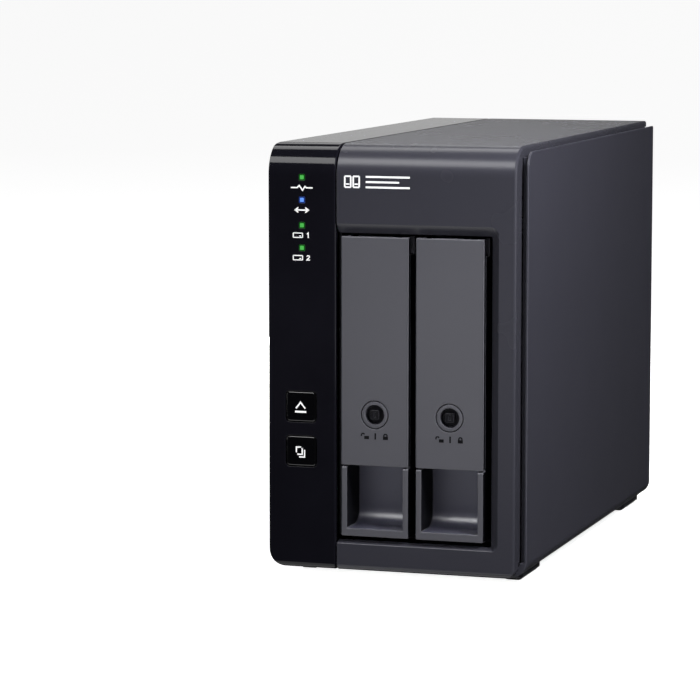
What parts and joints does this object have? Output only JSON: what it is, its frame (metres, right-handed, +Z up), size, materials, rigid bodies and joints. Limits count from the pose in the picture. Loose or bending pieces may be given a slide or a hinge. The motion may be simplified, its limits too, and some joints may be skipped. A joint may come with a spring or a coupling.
{
  "type": "network attached storage",
  "caption": "Upright desktop storage enclosure with lockable drive trays that slide out of the front, status lamps, push buttons, rear sockets and a cooling fan.",
  "frame": {"origin": "on the desk, under the middle of the case's outer box", "axes": "+Z up; -Y out of the front, where the trays slide out; +X to the right as seen from the front"},
  "size_m": [0.102, 0.219, 0.1685],
  "materials": {
    "gloss_black": "polished black plastic",
    "graphite": "fine satin texture",
    "tray_grey": "fine satin texture",
    "black_plastic": "moulded black plastic",
    "foot_rubber": "matt rubber",
    "green_lamp": "lit translucent plastic",
    "blue_lamp": "lit translucent plastic",
    "circuit_board": "solder-resist green",
    "black_steel": "black powder coat",
    "plated": "nickel plated",
    "aluminium": "cast and machined aluminium",
    "cable": "black insulation"
  },
  "bodies": {
    "enclosure": {"left_cover": "gloss_black", "main_shell": "graphite", "right_cover": "graphite", "rear_panel": "black_steel", "foot_front_left": "foot_rubber", "foot_front_right": "foot_rubber", "foot_rear_left": "foot_rubber", "foot_rear_right": "foot_rubber", "cage_left_plate": "black_steel", "cage_divider": "black_steel", "cage_right_plate": "black_steel", "cage_floor": "black_steel", "cage_roof": "black_steel", "backplane_board": "circuit_board", "board_link": "black_plastic", "main_board": "circuit_board", "heatsink": "aluminium", "usb_socket": "plated", "dc_jack": "black_plastic", "mode_switch_block": "black_plastic", "power_switch": "plated", "set_switch": "plated", "front_board": "circuit_board", "front_cable": "cable", "status_light": "green_lamp", "link_light": "blue_lamp", "disk_1_light": "green_lamp", "disk_2_light": "green_lamp", "fan_frame": "black_plastic", "fan_cable": "cable", "fan_screw_1": "plated", "fan_screw_2": "plated", "fan_screw_3": "plated", "fan_screw_4": "plated", "case_screw_top": "plated", "case_screw_bottom": "plated", "sata_socket_1": "black_plastic", "sata_socket_2": "black_plastic"},
    "tray_1": {"tray_1_frame": "tray_grey", "tray_1_top_clip": "black_plastic", "tray_1_bottom_clip": "black_plastic", "tray_1_hinge_pin": "plated", "hard_drive_1": "aluminium"},
    "tray_2": {"tray_2_frame": "tray_grey", "tray_2_top_clip": "black_plastic", "tray_2_bottom_clip": "black_plastic", "tray_2_hinge_pin": "plated", "hard_drive_2": "aluminium"},
    "lever_1": {"tray_1_lever": "tray_grey"},
    "lever_2": {"tray_2_lever": "tray_grey"},
    "lock_1": {"tray_1_lock": "tray_grey"},
    "lock_2": {"tray_2_lock": "tray_grey"},
    "eject_button": {"eject_button": "gloss_black"},
    "copy_button": {"copy_button": "gloss_black"},
    "power_button": {"power_button": "black_plastic"},
    "set_button": {"set_button": "black_plastic"},
    "mode_slider_1": {"mode_slider_1": "plated"},
    "mode_slider_2": {"mode_slider_2": "plated"},
    "mode_slider_3": {"mode_slider_3": "plated"},
    "fan_rotor": {"fan_rotor": "black_plastic"}
  },
  "joints": [
    {"name": "tray_1_slide", "type": "slide", "parent": "enclosure", "child": "tray_1", "axis": [0, -1, 0], "range_m": [0, 0.15]},
    {"name": "tray_2_slide", "type": "slide", "parent": "enclosure", "child": "tray_2", "axis": [0, -1, 0], "range_m": [0, 0.15]},
    {"name": "lever_1_swing", "type": "hinge", "parent": "tray_1", "child": "lever_1", "pos_m": [-0.0081, -0.106, 0.1294], "axis": [-1, 0, 0], "range_deg": [0, 80]},
    {"name": "lever_2_swing", "type": "hinge", "parent": "tray_2", "child": "lever_2", "pos_m": [0.0219, -0.106, 0.1294], "axis": [-1, 0, 0], "range_deg": [0, 80]},
    {"name": "lock_1_turn", "type": "hinge", "parent": "lever_1", "child": "lock_1", "pos_m": [-0.0081, -0.104, 0.0646], "axis": [0, 1, 0], "range_deg": [0, 90]},
    {"name": "lock_2_turn", "type": "hinge", "parent": "lever_2", "child": "lock_2", "pos_m": [0.0219, -0.104, 0.0646], "axis": [0, 1, 0], "range_deg": [0, 90]},
    {"name": "eject_press", "type": "slide", "parent": "enclosure", "child": "eject_button", "axis": [0, 1, 0], "range_m": [0, 0.0008], "stiffness_N_per_m": 400},
    {"name": "copy_press", "type": "slide", "parent": "enclosure", "child": "copy_button", "axis": [0, 1, 0], "range_m": [0, 0.0008], "stiffness_N_per_m": 400},
    {"name": "power_press", "type": "slide", "parent": "enclosure", "child": "power_button", "axis": [0, -1, 0], "range_m": [0, 0.0008], "stiffness_N_per_m": 400},
    {"name": "set_press", "type": "slide", "parent": "enclosure", "child": "set_button", "axis": [0, -1, 0], "range_m": [0, 0.0008], "stiffness_N_per_m": 400},
    {"name": "mode_1_set", "type": "slide", "parent": "enclosure", "child": "mode_slider_1", "axis": [1, 0, 0], "range_m": [0, 0.002]},
    {"name": "mode_2_set", "type": "slide", "parent": "enclosure", "child": "mode_slider_2", "axis": [1, 0, 0], "range_m": [0, 0.002]},
    {"name": "mode_3_set", "type": "slide", "parent": "enclosure", "child": "mode_slider_3", "axis": [1, 0, 0], "range_m": [0, 0.002]},
    {"name": "fan_spin", "type": "hinge", "parent": "enclosure", "child": "fan_rotor", "pos_m": [0.008, 0.0923, 0.088], "axis": [0, 1, 0], "continuous": true}
  ]
}
